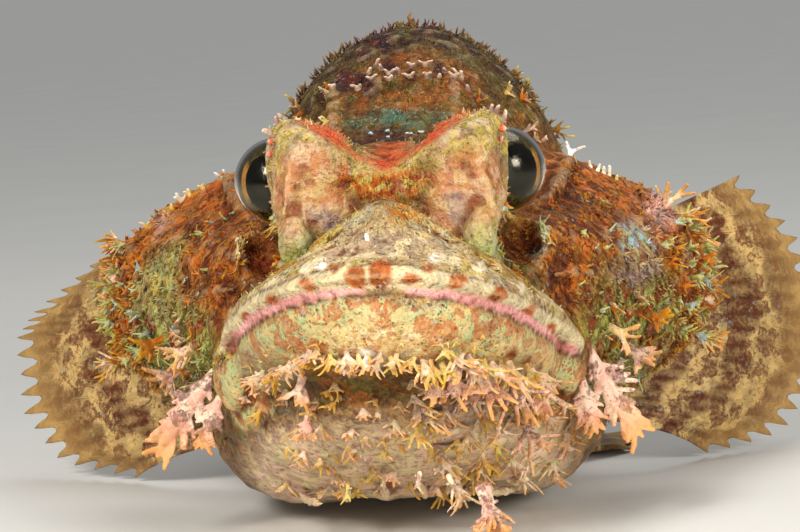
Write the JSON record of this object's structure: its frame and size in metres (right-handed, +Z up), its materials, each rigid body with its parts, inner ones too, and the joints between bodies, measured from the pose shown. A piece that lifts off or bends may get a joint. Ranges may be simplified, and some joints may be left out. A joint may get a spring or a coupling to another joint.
{
  "type": "tasselled scorpionfish",
  "caption": "Life-size scorpionfish resting on its belly and fins, its broad jaws, brows and gill covers hung with branched skin tassels.",
  "frame": {"origin": "middle of the model's length and width, on the floor that its belly and fins rest on", "axes": "-Y is the way the snout faces, +X is the fish's left, +Z is up"},
  "size_m": [0.1882, 0.3396, 0.1017],
  "materials": {
    "head_skin": "satin",
    "jaw_skin": "satin",
    "cheek_skin": "satin",
    "body_skin": "satin",
    "fin_skin": "satin",
    "breast_fin_skin": "satin",
    "eye": "gloss"
  },
  "bodies": {
    "root": {"head": "head_skin", "lower_jaw": "jaw_skin", "gill_cover_left": "cheek_skin", "gill_cover_right": "cheek_skin", "trunk": "body_skin", "tail_stem": "body_skin", "fin_back_spiny": "fin_skin", "fin_back_soft": "fin_skin", "fin_vent": "fin_skin", "fin_tail": "fin_skin", "fin_belly_left": "fin_skin", "fin_belly_right": "fin_skin", "fin_breast_left": "breast_fin_skin", "fin_breast_right": "breast_fin_skin", "eye_left": "eye", "eye_right": "eye"}
  },
  "joints": []
}
